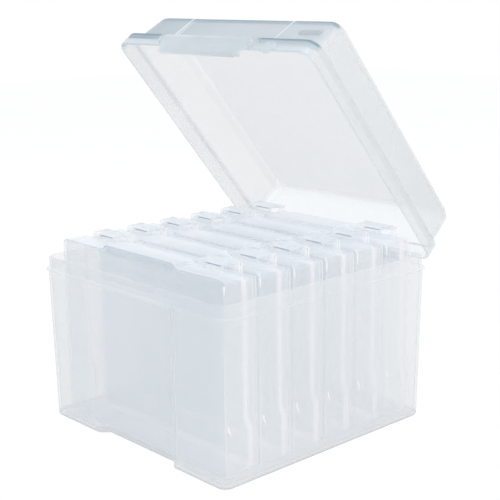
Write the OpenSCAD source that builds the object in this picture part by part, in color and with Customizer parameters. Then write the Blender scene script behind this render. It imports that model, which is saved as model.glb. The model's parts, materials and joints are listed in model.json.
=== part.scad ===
// Photo keeper case: a clear outer box with a deep hinged lid and a front latch,
// holding six slim inner cases that stand on edge one behind the other.
// Millimetres. The origin is the middle of the underside, +Z up, the front faces -Y.

/* [Inner cases] */
// Width of one inner case
case_w = 190; // [170:1:220]
// Height of the low ends of an inner case as it stands in the box
case_h = 142.5; // [132:0.1:155]
// Thickness of one closed inner case, front to back
case_t = 32; // [29:0.1:36]
// Free space between neighbouring inner cases
case_gap = 1; // [0.6:0.1:2]
// Radius of the upright corners of an inner case
case_r = 8; // [5:0.5:12]
// Wall of the inner cases
case_wall = 1.4; // [1.1:0.1:2]
// Thickness of the front half, the tray, above the low step
tray_t = 21; // [18:0.5:23]
// How much deeper the tray is near the bottom of the standing case
step_out = 4; // [2:0.5:5]
// Height of that low step
step_h = 35.5; // [25:0.5:60]
// How far the cover is set in from the tray at its sides, top and bottom
cover_inset = 2; // [1:0.25:3]
// Depth of the cover's lip inside the tray
lip_t = 2.4; // [1.5:0.1:4]
// Play around that lip
lip_gap = 0.25; // [0.15:0.05:0.4]
// Width of the raised middle of an inner case's top
raised_w = 78; // [60:1:84]
// Height of that raised middle above the low ends
raised_h = 3.5; // [2:0.1:4.5]
// Run of the slope at each end of the raised middle
raised_slope = 4.5; // [3:0.5:6]

/* [Snap latches of the inner cases] */
// Width of a snap latch
snap_w = 27; // [20:1:32]
// Space between the raised middle and a snap latch
snap_space = 10; // [8:0.5:14]
// Length of a snap latch from its free end to its pivot
snap_l = 14.4; // [12:0.2:16]
// Height of a snap latch's top above the low ends
snap_h = 6; // [5.4:0.1:8]
// Thickness of a snap latch's plate
snap_t = 1.8; // [1.4:0.1:2.2]
// Radius of a snap latch's hinge barrel
snap_barrel_r = 1.9; // [1.7:0.05:2.2]
// Radius of a snap latch's pins
snap_pin_r = 1; // [0.8:0.05:1.2]
// Thickness of the ears that hold the pins
snap_ear_t = 2.4; // [2:0.1:3.2]

/* [Outer box] */
// Wall of the outer box
wall = 1.8; // [1.5:0.1:2.4]
// Floor of the outer box
floor_t = 2.8; // [2:0.1:4]
// Height of the flange that the lid closes on
base_h = 123; // [110:0.5:130]
// How far each outer wall leans out from bottom to flange
draft = 1.8; // [0.6:0.1:2.4]
// Radius of the upright outer corners
base_r = 8; // [6:0.5:14]
// Radius of the rounded bottom edge
foot_r = 3.5; // [2:0.25:5]
// How far the flange stands out from the wall
flange_out = 1.5; // [1.2:0.1:2.4]
// Thickness of the flange
flange_t = 2; // [1.6:0.1:3]
// Height of the neck above the flange
neck_h = 9.3; // [7:0.1:10.2]
// Free space between the inner cases and the side walls
side_room = 6.7; // [3:0.1:9]
// Free space in front of the first inner case
front_room = 0.5; // [0.4:0.1:2]
// Free space behind the last inner case
rear_room = 1.1; // [0.6:0.1:3]
// Width of the finger recess in the front wall
recess_w = 98; // [80:1:110]
// Depth of that recess
recess_d = 7.3; // [5:0.1:9]
// Bevel along the bottom edge of that recess
recess_bevel = 2.5; // [1:0.1:3]

/* [Lid] */
// How far the lid stands open, from closed
lid_open = 50.45; // [20:0.05:100]
// Wall of the lid
lid_wall = 1.5; // [1.3:0.1:2]
// Height of the lid's wide band
band_h = 12.8; // [12.5:0.1:18]
// Thickness of the shelf on top of that band
shelf_t = 1.6; // [1.4:0.1:2]
// How far the lid's rim reaches past the flange, all round
lid_over = 0.1; // [-0.4:0.05:0.6]
// Play between the lid's band and the neck that it goes over
neck_gap = 0.6; // [0.4:0.05:1]
// Radius of the lid's upright corners
lid_r = 11; // [8:0.5:14]
// How far the upper walls are set in from the band at the sides and front
set_in = 5.5; // [4.5:0.1:7]
// How far they are set in from the band at the back
set_in_rear = 0.5; // [0.2:0.1:1.5]
// Lean of the upper side walls
side_lean = 2.7; // [1:0.1:5]
// Lean of the upper front wall
front_lean = 5.3; // [3:0.1:9]
// Radius of the rounded edge around the top
top_r = 8; // [5:0.5:10]
// Free space between the snap latches and the closed lid's ceiling
head_room = 16.8; // [8:0.1:20]
// Width of the shallow panel in the lid's front wall
panel_w = 110; // [80:1:130]
// Depth of that panel
panel_d = 1.8; // [1:0.1:2.4]
// Play between the lid's rim and the flange
lid_gap = 0.3; // [0.25:0.05:0.5]

/* [Lid hinge] */
// Distance of each hinge from the middle
hinge_x = 62; // [40:1:80]
// How far the hinge axis lies behind the lid
hinge_out = 4.4; // [4.2:0.1:6]
// Depth of the hinge axis below the top of the flange
hinge_down = 0.4; // [0.2:0.05:1]
// Radius of the hinge pins
hinge_pin_r = 1.6; // [1.4:0.05:1.8]
// Radius of the knuckle on each lid arm
knuckle_r = 2.9; // [2.6:0.05:3]
// Radius of the bracket's ears
ear_r = 3.4; // [3:0.05:3.6]
// Width of a lid arm
arm_w = 11; // [8:0.5:16]
// Thickness of a bracket ear
ear_t = 3; // [2.4:0.1:4]
// Length of the heel that stops the lid, from the hinge axis
heel_l = 5.5; // [4.8:0.1:5.6]
// Half the thickness of that heel
heel_half = 1.4; // [1.2:0.05:1.6]
// How far the lid opens before its heels meet the brackets
lid_max = 105; // [95:1:110]
// Height of a hinge bracket
bracket_h = 13; // [10:0.5:20]

/* [Front latch] */
// Width of the latch plate
latch_w = 99; // [80:1:104]
// Thickness of the latch plate
latch_t = 2; // [1.6:0.1:2.4]
// Radius of the latch's hinge barrel
latch_barrel_r = 1.7; // [1.6:0.05:1.9]
// Radius of the latch's pins
latch_pin_r = 1; // [0.8:0.05:1.2]
// Height of the latch's hinge axis above the lid's rim
latch_up = 7.6; // [6.5:0.1:8.5]
// How far the latch reaches below the lid's rim
latch_drop = 11; // [8:0.1:13]
// How far the latch's hook reaches inwards past the flange's edge
hook_in = 3.5; // [3:0.1:5]
// How much narrower the latch is at its free edge, on each side
latch_taper = 7; // [3:0.5:10]
// Thickness of the ears that hold the latch's pins
latch_ear_t = 3; // [2.4:0.1:4]
// Distance of the lift tab from the middle of the lid
tab_x = 68; // [60:1:80]
// Radius of the lift tab
tab_r = 6; // [4:0.5:7]

/* [Hidden] */
$fn = 48;
hull_fn = 32;
case_count = 6;
pin_gap = 0.05;     // radial play of every pin in its bore
end_gap = 0.3;      // play between parts that turn beside each other
seat_gap = 0.3;     // play between an inner case and the floor
slice = 0.01;       // thickness of the slices that a hull joins
over = 1;           // how far a cut runs past the solid that it cuts
diagonal = 0.7;     // share of a radius at which a slanted face leaves a round one
round_at = 0.3;     // share of a radius at the middle of a three-step round edge
pin_short = 0.2;    // how far a pin stays inside the outer face of its ear
hook_gap = 0.5;     // play between the latch's hook and the flange
heel_gap = 0.35;    // play left between heel and bracket at the lid's last degree
web_foot = 4;       // rise of the slant under the web of a hinge bracket

// the outer box round the inner cases
case_pitch = case_t + case_gap;
case_z = floor_t + seat_gap;
base_w = case_w + 2 * (side_room + wall);
base_d = recess_d + 2 * wall + front_room + rear_room
  + case_count * case_t + (case_count - 1) * case_gap;
case_front = -base_d / 2 + recess_d + wall + front_room;
flange_x = base_w / 2 + draft + flange_out;
flange_y = base_d / 2 + draft + flange_out;

// the inner cases
tray_low_t = tray_t + step_out;
snap_z = case_h + snap_h;
snap_x = raised_w / 2 + snap_space + snap_w / 2;
snap_back = 0.2;    // how far the snap latches' barrels stay inside the case's back
snap_axis_t = case_t - snap_barrel_r - snap_back;
snap_axis_z = snap_z - snap_barrel_r;
snap_hook_t = 1.6;  // thickness of the snap latch's turned-down end
snap_foot_gap = 0.5; // play between that end and the tray's top
snap_catch_h = 1.6; // height of the ridge that the end snaps over
snap_catch_t = 2;   // thickness of that ridge
snap_catch_in = 3;  // how much shorter the ridge is than the snap latch, at each end
snap_ear_foot = 3;  // distance from the tray's edge to the ears' feet
snap_bevel = 1;     // bevel along a snap latch's free end, and at its ears

// the lid, laid out closed
rim_z = base_h + lid_gap;
lid_x = flange_x + lid_over;
lid_y = flange_y + lid_over;
lid_h = case_z + snap_z - rim_z + head_room + lid_wall;
axis_y = lid_y + hinge_out;
axis_z = base_h - hinge_down;
neck_x = lid_x - lid_wall - neck_gap;
neck_y = lid_y - lid_wall - neck_gap;
neck_r = lid_r - lid_wall - neck_gap;

// the front latch, also laid out closed
latch_y = -lid_y - latch_barrel_r - end_gap;
latch_z = rim_z + latch_up;
hook_z = rim_z - lid_gap - flange_t - hook_gap;
ear_rise = 2;       // how far the latch's ears stand above its axis
ear_foot = 1;       // height of the ears' feet above the rim, and the fall of their tops
hook_rise = 2;      // height of the slant under the latch's hook
hook_tip = 1.8;     // thickness of the hook at its tip
latch_edge_r = 3;   // radius of the latch's free corners
latch_sunk = 0.2;   // how far the latch plate's face lies behind its barrel's
latch_full = 3;     // height above the rim down to which the latch keeps its full width
tab_up = 2;         // height of the lift tab's middle above the rim
tab_bevel = 1;      // bevel along the lift tab's upper edge

// a plate with round corners; r is the corner radius
module plate(half_x, half_y, r, h) {
  linear_extrude(h) {
    square([2 * half_x - 2 * r, 2 * half_y], center = true);
    square([2 * half_x, 2 * half_y - 2 * r], center = true);
    for (x = [-1, 1], y = [-1, 1])
      translate([x * (half_x - r), y * (half_y - r)]) circle(r);
  }
}

// four thin discs at the corners of a rectangle, for a hull to join
module corner_slices(half_x, front, rear, r, z) {
  for (x = [-1, 1], y = [front + r, rear - r])
    translate([x * (half_x - r), y, z]) cylinder(r = r, h = slice, $fn = hull_fn);
}

// an outline drawn in X and Z, drawn out from y0 to y1
module standing(y0, y1) {
  translate([0, y1, 0]) rotate([90, 0, 0]) linear_extrude(y1 - y0) children();
}

// an outline drawn in Y and Z, drawn out from x0 to x1
module crosswise(x0, x1) {
  translate([x0, 0, 0]) rotate([90, 0, 90]) linear_extrude(x1 - x0) children();
}

// a rod along X
module rod(x0, x1, y, z, r) {
  translate([x0, y, z]) rotate([0, 90, 0]) cylinder(r = r, h = x1 - x0);
}

// the drafted body of the outer box, shrunk on all sides by inset
module box_form(inset, bottom, top) {
  lean = function (z) draft * z / base_h;
  round_r = max(foot_r - inset, 0.5);
  rise = [0, round_r * round_at, round_r];
  step = [round_r, round_r * round_at, 0];
  hull() {
    for (i = [0 : 2])
      corner_slices(
        base_w / 2 - inset - step[i] + lean(bottom + rise[i]),
        -base_d / 2 + inset + step[i] - lean(bottom + rise[i]),
        base_d / 2 - inset - step[i] + lean(bottom + rise[i]),
        base_r - inset - step[i] / 2, bottom + rise[i]);
    corner_slices(base_w / 2 - inset + lean(top), -base_d / 2 + inset - lean(top),
      base_d / 2 - inset + lean(top), base_r - inset, top - slice);
  }
}

// the finger recess in the front wall, grown by the wall for the inner side
module recess(grow, top) {
  half = recess_w / 2 + grow * sqrt(2);
  front = -base_d / 2;
  past = 2 * over;
  translate([0, 0, -over]) linear_extrude(top + over) polygon([
    [-half - past, front - past], [half + past, front - past],
    [half - recess_d - grow, front + recess_d + grow],
    [-half + recess_d + grow, front + recess_d + grow]]);
}

// one hinge bracket on the rear wall: two ears and the web that stops the lid's heel
module bracket() {
  inner = arm_w / 2 + end_gap;
  root = base_d / 2 + draft - wall / 2;
  web = axis_y - heel_l * sin(lid_max - 90) - heel_half - heel_gap;
  top = base_h - flange_t / 2;
  under = base_h - bracket_h;
  for (x = [-inner - ear_t, inner]) crosswise(x, x + ear_t) {
    translate([axis_y, axis_z]) circle(ear_r);
    polygon([[root, under], [root, top], [axis_y - ear_r * diagonal, top],
      [axis_y - ear_r * diagonal, axis_z + ear_r * diagonal],
      [axis_y + ear_r * diagonal, axis_z - ear_r * diagonal]]);
  }
  crosswise(-inner, inner)
    polygon([[root, under], [root, top], [web, top], [web, under + web_foot]]);
}

module base() {
  color([0.86, 0.90, 0.93]) difference() {
    union() {
      box_form(0, 0, base_h);
      translate([0, 0, base_h - flange_t]) plate(flange_x, flange_y, base_r + flange_out, flange_t);
      translate([0, 0, base_h - flange_t]) plate(neck_x, neck_y, neck_r, neck_h + flange_t);
      for (side = [-1, 1]) translate([side * hinge_x, 0, 0]) bracket();
    }
    difference() {
      union() {
        box_form(wall, floor_t, base_h - flange_t);
        translate([0, 0, base_h - flange_t - slice])
          plate(neck_x - wall, neck_y - wall, neck_r - wall, neck_h + flange_t + over);
      }
      recess(wall, base_h);
    }
    recess(0, base_h - flange_t);
    crosswise(-recess_w / 2, recess_w / 2) polygon([
      [-base_d / 2 + recess_d - over, -over], [-base_d / 2 + recess_d + recess_bevel + over, -over],
      [-base_d / 2 + recess_d - over, recess_bevel + over]]);
    for (side = [-1, 1])
      rod(side * hinge_x - arm_w, side * hinge_x + arm_w, axis_y, axis_z, hinge_pin_r + pin_gap);
  }
}

// the lid's upper body, shrunk by inset; push moves its front wall back for the panel
module crown_form(inset, push) {
  low = rim_z + band_h - shelf_t - slice;
  high = rim_z + lid_h - inset;
  edge = top_r - inset;
  share = function (z) (z - rim_z - band_h) / (lid_h - band_h);
  level = function (a) high - edge + edge * sin(a);
  hull() {
    corner_slices(lid_x - set_in - inset, -lid_y + set_in + inset + push,
      lid_y - set_in_rear - inset, lid_r - set_in / 2 - inset, low);
    for (a = [0 : 30 : 90]) {
      back = edge * (1 - cos(a));
      z = level(a);
      corner_slices(lid_x - set_in - inset - back - side_lean * share(z),
        -lid_y + set_in + inset + back + front_lean * share(z) + push,
        lid_y - set_in_rear - inset - back, lid_r - set_in / 2 - inset, z - slice);
    }
  }
}

// the upper body with the shallow panel in its front wall
module crown(inset) {
  half = panel_w / 2 + inset;
  reach = set_in + front_lean + top_r + panel_d + inset;
  difference() {
    crown_form(inset, 0);
    translate([-half, -lid_y, rim_z + band_h]) cube([2 * half, reach, lid_h]);
  }
  intersection() {
    crown_form(inset, panel_d);
    translate([-half, -lid_y, rim_z + band_h - slice])
      cube([2 * half, reach, lid_h]);
  }
}

// one hinge arm with its pins, knuckle and heel
module arm() {
  reach = arm_w / 2 + end_gap + ear_t - pin_short;
  rod(-reach, reach, axis_y, axis_z, hinge_pin_r);
  rod(-arm_w / 2, arm_w / 2, axis_y, axis_z, knuckle_r);
  crosswise(-arm_w / 2, arm_w / 2) {
    polygon([[lid_y - lid_wall / 2, rim_z], [lid_y + end_gap, rim_z],
      [axis_y - knuckle_r * diagonal, axis_z - knuckle_r * diagonal], [axis_y, axis_z],
      [axis_y + knuckle_r * diagonal, axis_z + knuckle_r * diagonal],
      [lid_y - lid_wall / 2, axis_z + 2 * knuckle_r]]);
    polygon([[axis_y, axis_z - heel_half], [axis_y + heel_l, axis_z - heel_half],
      [axis_y + heel_l, axis_z + heel_half], [axis_y, axis_z + heel_half]]);
  }
}

// one ear beside the latch, with the bore for its pin
module latch_ear() {
  low = rim_z + ear_foot;
  difference() {
    crosswise(0, latch_ear_t) {
      translate([latch_y, latch_z]) circle(ear_rise);
      polygon([[-lid_y + lid_wall / 2, low], [latch_y, low], [latch_y - ear_rise, low + ear_rise],
        [latch_y - ear_rise, latch_z], [latch_y, latch_z + ear_rise],
        [-lid_y + lid_wall / 2, latch_z + ear_rise + ear_foot]]);
    }
    rod(-over, latch_ear_t + over, latch_y, latch_z, latch_pin_r + pin_gap);
  }
}

// the small round lift tab on the lid's rim, clear of the flange
module lift_tab() {
  front = -lid_y - latch_t - end_gap;
  intersection() {
    standing(front, -lid_y + lid_wall / 2)
      translate([tab_x, rim_z + tab_up]) circle(tab_r);
    crosswise(0, lid_x) polygon([[front, rim_z - tab_r], [-flange_y - end_gap, rim_z - tab_r],
      [-flange_y - end_gap, rim_z], [-lid_y + lid_wall / 2, rim_z],
      [-lid_y + lid_wall / 2, rim_z + tab_r], [front, rim_z + tab_r - tab_bevel]]);
  }
}

module lid_closed() {
  ear_x = latch_w / 2 + end_gap;
  difference() {
    union() {
      translate([0, 0, rim_z]) plate(lid_x, lid_y, lid_r, band_h);
      crown(0);
    }
    translate([0, 0, rim_z - over])
      plate(lid_x - lid_wall, lid_y - lid_wall, lid_r - lid_wall, band_h - shelf_t + over);
    crown(lid_wall);
  }
  for (side = [-1, 1]) translate([side * hinge_x, 0, 0]) arm();
  translate([ear_x, 0, 0]) latch_ear();
  translate([-ear_x - latch_ear_t, 0, 0]) latch_ear();
  lift_tab();
}

// turns what is laid out closed to the lid's resting angle
module opened() {
  translate([0, axis_y, axis_z]) rotate([-lid_open, 0, 0]) translate([0, -axis_y, -axis_z]) children();
}

module lid() {
  color([0.91, 0.92, 0.93]) opened() lid_closed();
}

// the latch plate with its barrel, pins and the hook that goes under the flange
module lid_latch() {
  half = latch_w / 2;
  low = rim_z - latch_drop;
  reach = half + end_gap + latch_ear_t - pin_short;
  face = latch_y - latch_barrel_r + latch_sunk;
  edge_r = latch_edge_r;
  color([0.76, 0.83, 0.88]) opened() {
    rod(-reach, reach, latch_y, latch_z, latch_pin_r);
    rod(-half, half, latch_y, latch_z, latch_barrel_r);
    standing(face, face + latch_t) {
      polygon([[-half, latch_z], [-half, rim_z + latch_full], [-half + latch_taper, low + edge_r],
        [-half + latch_taper + edge_r, low], [half - latch_taper - edge_r, low],
        [half - latch_taper, low + edge_r], [half, rim_z + latch_full], [half, latch_z]]);
      for (x = [-1, 1])
        translate([x * (half - latch_taper - edge_r), low + edge_r]) circle(edge_r);
    }
    crosswise(-half + latch_taper + edge_r, half - latch_taper - edge_r)
      polygon([[latch_y, low + hook_rise], [latch_y, hook_z], [-flange_y + hook_in, hook_z],
        [-flange_y + hook_in, hook_z - hook_tip]]);
  }
}

// the outline of an inner case as it stands, shrunk by inset
module case_outline(inset) {
  half = case_w / 2 - inset;
  r = case_r - inset;
  low = case_h - inset;
  translate([0, inset]) {
    translate([-half + r, 0]) square([2 * (half - r), low - inset]);
    translate([-half, r]) square([2 * half, low - inset - 2 * r]);
    for (x = [-1, 1], z = [r, low - inset - r]) translate([x * (half - r), z]) circle(r);
  }
  top = low + raised_h;
  mid = raised_w / 2 - inset;
  polygon([[-mid - raised_slope, low - r], [-mid - raised_slope, low], [-mid, top], [mid, top],
    [mid + raised_slope, low], [mid + raised_slope, low - r]]);
}

// the part of an outline below the low step, grown by margin at the step
module below_step(margin) {
  intersection() {
    children();
    translate([-case_w, -case_w]) square([2 * case_w, case_w + step_h + margin]);
  }
}

// puts an inner case's piece into its place in the box; k counts from the front
module placed(k) {
  translate([0, case_front + (k - 1) * case_pitch, case_z]) children();
}

// the front half of an inner case, open towards the back
module tray() {
  color([0.84, 0.88, 0.92]) {
    difference() {
      union() {
        standing(0, tray_t) case_outline(0);
        standing(0, tray_low_t) below_step(0) case_outline(0);
      }
      standing(case_wall, tray_low_t + over) case_outline(case_wall);
    }
    for (side = [-1, 1]) translate([side * snap_x, 0, 0]) snap_catch();
  }
}

// the low ridge on the tray that a snap latch's end holds on to
module snap_catch() {
  y0 = snap_axis_t - snap_l + snap_hook_t + end_gap;
  half = snap_w / 2 - snap_catch_in;
  translate([-half, y0, case_h - case_wall])
    cube([2 * half, snap_catch_t, case_wall + snap_catch_h]);
}

// the back half of an inner case, with its lip inside the tray
module cover() {
  back = case_t;
  inside = cover_inset + case_wall;
  lip = case_wall + lip_gap;
  color([0.88, 0.91, 0.94]) {
    difference() {
      union() {
        standing(tray_t, back) case_outline(cover_inset);
        standing(tray_t - lip_t, tray_t) case_outline(lip);
      }
      standing(tray_t - lip_t - over, back - case_wall) case_outline(inside);
      standing(tray_t - lip_t - over, tray_low_t) below_step(0) case_outline(-over);
    }
    difference() {
      standing(tray_low_t - lip_t, tray_low_t) below_step(-lip_gap) case_outline(lip);
      standing(tray_low_t - lip_t - over, tray_low_t + over) case_outline(inside);
    }
    for (side = [-1, 1]) translate([side * snap_x, 0, 0]) snap_ears();
  }
}

// the two ears on the cover that a snap latch turns between
module snap_ears() {
  inner = snap_w / 2 + end_gap;
  low = case_h - cover_inset - case_wall;
  for (x = [-inner - snap_ear_t, inner]) difference() {
    crosswise(x, x + snap_ear_t) {
      translate([snap_axis_t, snap_axis_z]) circle(snap_barrel_r);
      polygon([[tray_t + snap_ear_foot, low], [case_t, low], [case_t, snap_axis_z - snap_bevel],
        [snap_axis_t + snap_barrel_r, snap_axis_z], [snap_axis_t - snap_barrel_r, snap_axis_z],
        [tray_t + snap_ear_foot, case_h]]);
    }
    rod(x - over, x + snap_ear_t + over, snap_axis_t, snap_axis_z, snap_pin_r + pin_gap);
  }
}

// one snap latch: side is -1 on the left and 1 on the right
module snap_latch(side) {
  half = snap_w / 2;
  reach = half + end_gap + snap_ear_t - pin_short;
  free = snap_axis_t - snap_l;
  foot = case_h + snap_foot_gap;
  color([0.80, 0.86, 0.91]) translate([side * snap_x, 0, 0]) {
    rod(-reach, reach, snap_axis_t, snap_axis_z, snap_pin_r);
    rod(-half, half, snap_axis_t, snap_axis_z, snap_barrel_r);
    crosswise(-half, half) polygon([
      [snap_axis_t, snap_z], [free + snap_bevel, snap_z], [free, snap_z - snap_bevel], [free, foot],
      [free + snap_hook_t, foot], [free + snap_hook_t, snap_z - snap_t],
      [snap_axis_t, snap_z - snap_t]]);
  }
}

base();
lid();
lid_latch();
for (k = [1 : case_count]) {
  placed(k) tray();
  placed(k) cover();
  placed(k) snap_latch(-1);
  placed(k) snap_latch(1);
}
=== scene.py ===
"""A photo keeper case: a clear polypropylene box with a deep hinged lid and a front latch, and six
slim inner cases that stand on edge in it. Shapes are written in millimetres and made in metres, in
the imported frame."""

import json
from math import atan2, cos, pi, radians, sin, tan

import bmesh
import bpy
from mathutils import Matrix, Vector


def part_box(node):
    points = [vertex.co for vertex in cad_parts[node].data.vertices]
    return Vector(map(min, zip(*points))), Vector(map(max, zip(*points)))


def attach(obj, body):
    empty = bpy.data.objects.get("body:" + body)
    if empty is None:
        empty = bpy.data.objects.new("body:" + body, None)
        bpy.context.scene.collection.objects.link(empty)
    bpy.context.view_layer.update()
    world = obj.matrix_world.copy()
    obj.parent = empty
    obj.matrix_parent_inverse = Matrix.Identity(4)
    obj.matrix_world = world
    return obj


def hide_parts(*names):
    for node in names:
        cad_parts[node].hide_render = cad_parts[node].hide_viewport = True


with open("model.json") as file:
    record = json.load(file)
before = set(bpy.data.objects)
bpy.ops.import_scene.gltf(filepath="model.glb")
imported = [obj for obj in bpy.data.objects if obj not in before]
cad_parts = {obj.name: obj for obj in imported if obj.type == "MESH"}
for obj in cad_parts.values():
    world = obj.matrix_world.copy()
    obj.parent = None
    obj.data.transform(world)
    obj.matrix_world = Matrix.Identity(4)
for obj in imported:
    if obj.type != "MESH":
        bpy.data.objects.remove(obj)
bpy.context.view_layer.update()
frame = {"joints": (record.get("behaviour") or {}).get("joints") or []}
joints = {joint["name"]: joint for joint in frame["joints"]}
mm = 0.001

# The camera
# It stands to the right of the box and a little above the lid's hinge, at the photograph's angle.
azimuth = radians(47.361)
elevation = radians(13.177)
roll = radians(-0.625)
aim = Vector((0.052285, -0.031714, 0.149981))
distance = 0.818435
focal_length = 81.246

back = Vector((sin(azimuth) * cos(elevation), -cos(azimuth) * cos(elevation), sin(elevation)))
right = Vector((cos(azimuth), sin(azimuth), 0))
turned = Matrix((right, back.cross(right), back)).transposed() @ Matrix.Rotation(roll, 3, "Z")
camera_data = bpy.data.cameras.new("camera")
camera_data.lens = focal_length
camera_data.sensor_width = 36
camera_data.clip_end = 20
camera = bpy.data.objects.new("camera", camera_data)
camera.matrix_world = Matrix.Translation(aim + back * distance) @ turned.to_4x4()
bpy.context.collection.objects.link(camera)
scene = bpy.context.scene
scene.camera = camera
scene.view_settings.view_transform = "Standard"

# Light passes dozens of clear walls here, so paths may cross many of them.
scene.cycles.transparent_max_bounces = 128
scene.cycles.max_bounces = 16
scene.cycles.diffuse_bounces = 8


class Wire:
    """A socket of a node tree. Python's operators on it add Math nodes, add() adds any other."""

    def __init__(self, tree, socket=None):
        self.tree = tree
        self.socket = socket

    def add(self, kind, settings=None, inputs=None, out=0):
        """A node of that kind, its settings first and then the values or links of its sockets."""
        node = self.tree.nodes.new(kind)
        for key, value in (settings or {}).items():
            setattr(node, key, value)
        for key, value in (inputs or {}).items():
            if isinstance(value, (Wire, list)):
                for wire in value if isinstance(value, list) else [value]:
                    self.tree.links.new(wire.socket, node.inputs[key])
            else:
                node.inputs[key].default_value = value
        return Wire(self.tree, node.outputs[out] if len(node.outputs) else None)

    def maths(self, operation, first, second=None):
        """A Math node of that operation."""
        inputs = {0: first} if second is None else {0: first, 1: second}
        return self.add("ShaderNodeMath", {"operation": operation}, inputs)

    def __add__(self, other):
        return self.maths("ADD", self, other)

    __radd__ = __add__

    def __mul__(self, other):
        return self.maths("MULTIPLY", self, other)

    __rmul__ = __mul__

    def __sub__(self, other):
        return self.maths("SUBTRACT", self, other)

    def __rsub__(self, other):
        return self.maths("SUBTRACT", other, self)

    def __truediv__(self, other):
        return self.maths("DIVIDE", self, other)

    def __rtruediv__(self, other):
        return self.maths("DIVIDE", other, self)

    def __pow__(self, other):
        return self.maths("POWER", self, other)

    def at_least(self, other):
        """The larger of this value and the other."""
        return self.maths("MAXIMUM", self, other)

    def ramp(self, low, high, start=0.0, end=1.0):
        """Goes smoothly from start to end as this value goes from low to high."""
        return self.add("ShaderNodeMapRange", {"interpolation_type": "SMOOTHSTEP"}, {
            "Value": self, "From Min": low, "From Max": high, "To Min": start, "To Max": end})

    def between(self, low, low_full, high_full, high):
        """1 from low_full to high_full, and 0 below low and above high."""
        return self.ramp(low, low_full) * self.ramp(high_full, high, 1, 0)

    def ray(self, *kinds):
        """1 for rays of these kinds, as Light Path names them."""
        outputs = self.add("ShaderNodeLightPath").socket.node.outputs
        found = Wire(self.tree, outputs[kinds[0]])
        for kind in kinds[1:]:
            found = found.at_least(Wire(self.tree, outputs[kind]))
        return found


# The floor and the light
# A white sweep lies under the box. A wide soft top light, a small one for the glints, a softbox on
# the right and two narrow strips draw the bright lines along the moulded edges. Gloss and clear
# walls see plain white all round.
room_light = 0.79
room_tint = (0.985, 0.99, 1.0, 1)
paper_white = (0.9, 0.91, 0.92, 1)
floor_reach = 3.0
floor_z = -0.0003
floor_shadow = 0.16
floor_white = 1.04
seen_directly = ("Is Camera Ray", "Is Glossy Ray", "Is Transmission Ray")
lit_point = Vector((0, 0, 0.12))

world = bpy.data.worlds.new("studio")
world.use_nodes = True
scene.world = world
world.node_tree.nodes.clear()
sky = Wire(world.node_tree)
plain = sky.add("ShaderNodeBackground", inputs={"Color": (1, 1, 1, 1), "Strength": 1.0})
lit = sky.add("ShaderNodeBackground", inputs={"Color": room_tint, "Strength": room_light})
sky_mix = sky.add("ShaderNodeMixShader", inputs={0: sky.ray(*seen_directly), 1: lit, 2: plain})
sky.add("ShaderNodeOutputWorld", inputs={"Surface": sky_mix})

floor_material = bpy.data.materials.new("white_sweep")
floor_material.use_nodes = True
floor_material.node_tree.nodes.clear()
sweep = Wire(floor_material.node_tree)
paper = sweep.add("ShaderNodeBsdfDiffuse", inputs={"Color": paper_white})
white = sweep.add("ShaderNodeEmission", inputs={"Color": (1, 1, 1, 1), "Strength": floor_white})
sweep_mix = sweep.add("ShaderNodeMixShader", inputs={
    0: sweep.ray(*seen_directly) * (1 - floor_shadow), 1: paper, 2: white})
sweep.add("ShaderNodeOutputMaterial", inputs={"Surface": sweep_mix})
floor_mesh = bpy.data.meshes.new("floor")
floor_corners = ((-1, -1), (1, -1), (1, 1), (-1, 1))
floor_mesh.from_pydata([(x * floor_reach, y * floor_reach, floor_z) for x, y in floor_corners],
                       [], [(0, 1, 2, 3)])
floor_mesh.materials.append(floor_material)
floor = bpy.data.objects.new("floor", floor_mesh)
bpy.context.collection.objects.link(floor)


def softbox(name, place, width, height, watts, tint=(1, 1, 1)):
    """A rectangular lamp that faces the middle of the box."""
    lamp = bpy.data.lights.new(name, "AREA")
    lamp.shape = "RECTANGLE"
    lamp.size = width
    lamp.size_y = height
    lamp.energy = watts
    lamp.color = tint
    holder = bpy.data.objects.new(name, lamp)
    holder.location = place
    holder.rotation_euler = (lit_point - Vector(place)).to_track_quat("-Z", "Y").to_euler()
    bpy.context.collection.objects.link(holder)


softbox("top_light", (0.1, 0.1, 1.9), 1.6, 1.6, 5, (0.93, 0.97, 1))
softbox("glint_light", (0.62, -0.25, 1.8), 0.28, 0.28, 2.6)
softbox("right_light", (1.7, 0.35, 0.75), 1.0, 1.0, 2)
softbox("right_strip", (1.1, -0.35, 0.5), 0.08, 0.9, 2.4)
softbox("left_strip", (-0.55, -1.3, 0.6), 0.08, 0.9, 1.6)


# The box
# One tub moulded in clear polypropylene: drafted walls, a flange and a neck that the lid goes over,
# a wide finger recess in the front wall and two hinge brackets on the rear wall.
foot_half_x = 103.5
foot_half_y = 104.75
lean_out = 1.8
corner_r = 8
foot_round = 3.5
wall = 1.8
floor_t = 2.8
inner_round = 2.6
flange_top = 123
flange_under = 121
flange_half = (106.8, 108.05)
flange_r = 9.5
flange_bevel = 0.5
neck_half = (104.8, 106.05)
neck_top = 132.3
neck_r = 8.9
neck_bevel = 0.7
neck_fillet = 0.6
wall_levels = (40, 80)
recess_half = 49
recess_depth = 7.3
recess_bevel = 2.5
recess_round = 2.2
hinge_x = 62
hinge_y, hinge_z = (joints["lid_hinge"]["pos_m"][i] / mm for i in (1, 2))
pin_r = 1.6
pin_short = 0.2
pin_bevel = 0.2
bore_play = 0.05
ear_r = 3.4
ear_t = 3
arm_w = 11
side_play = 0.3
heel_length = 5.5
heel_half = 1.4
heel_turn = 15
heel_play = 0.35
diagonal = 0.7


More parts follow.
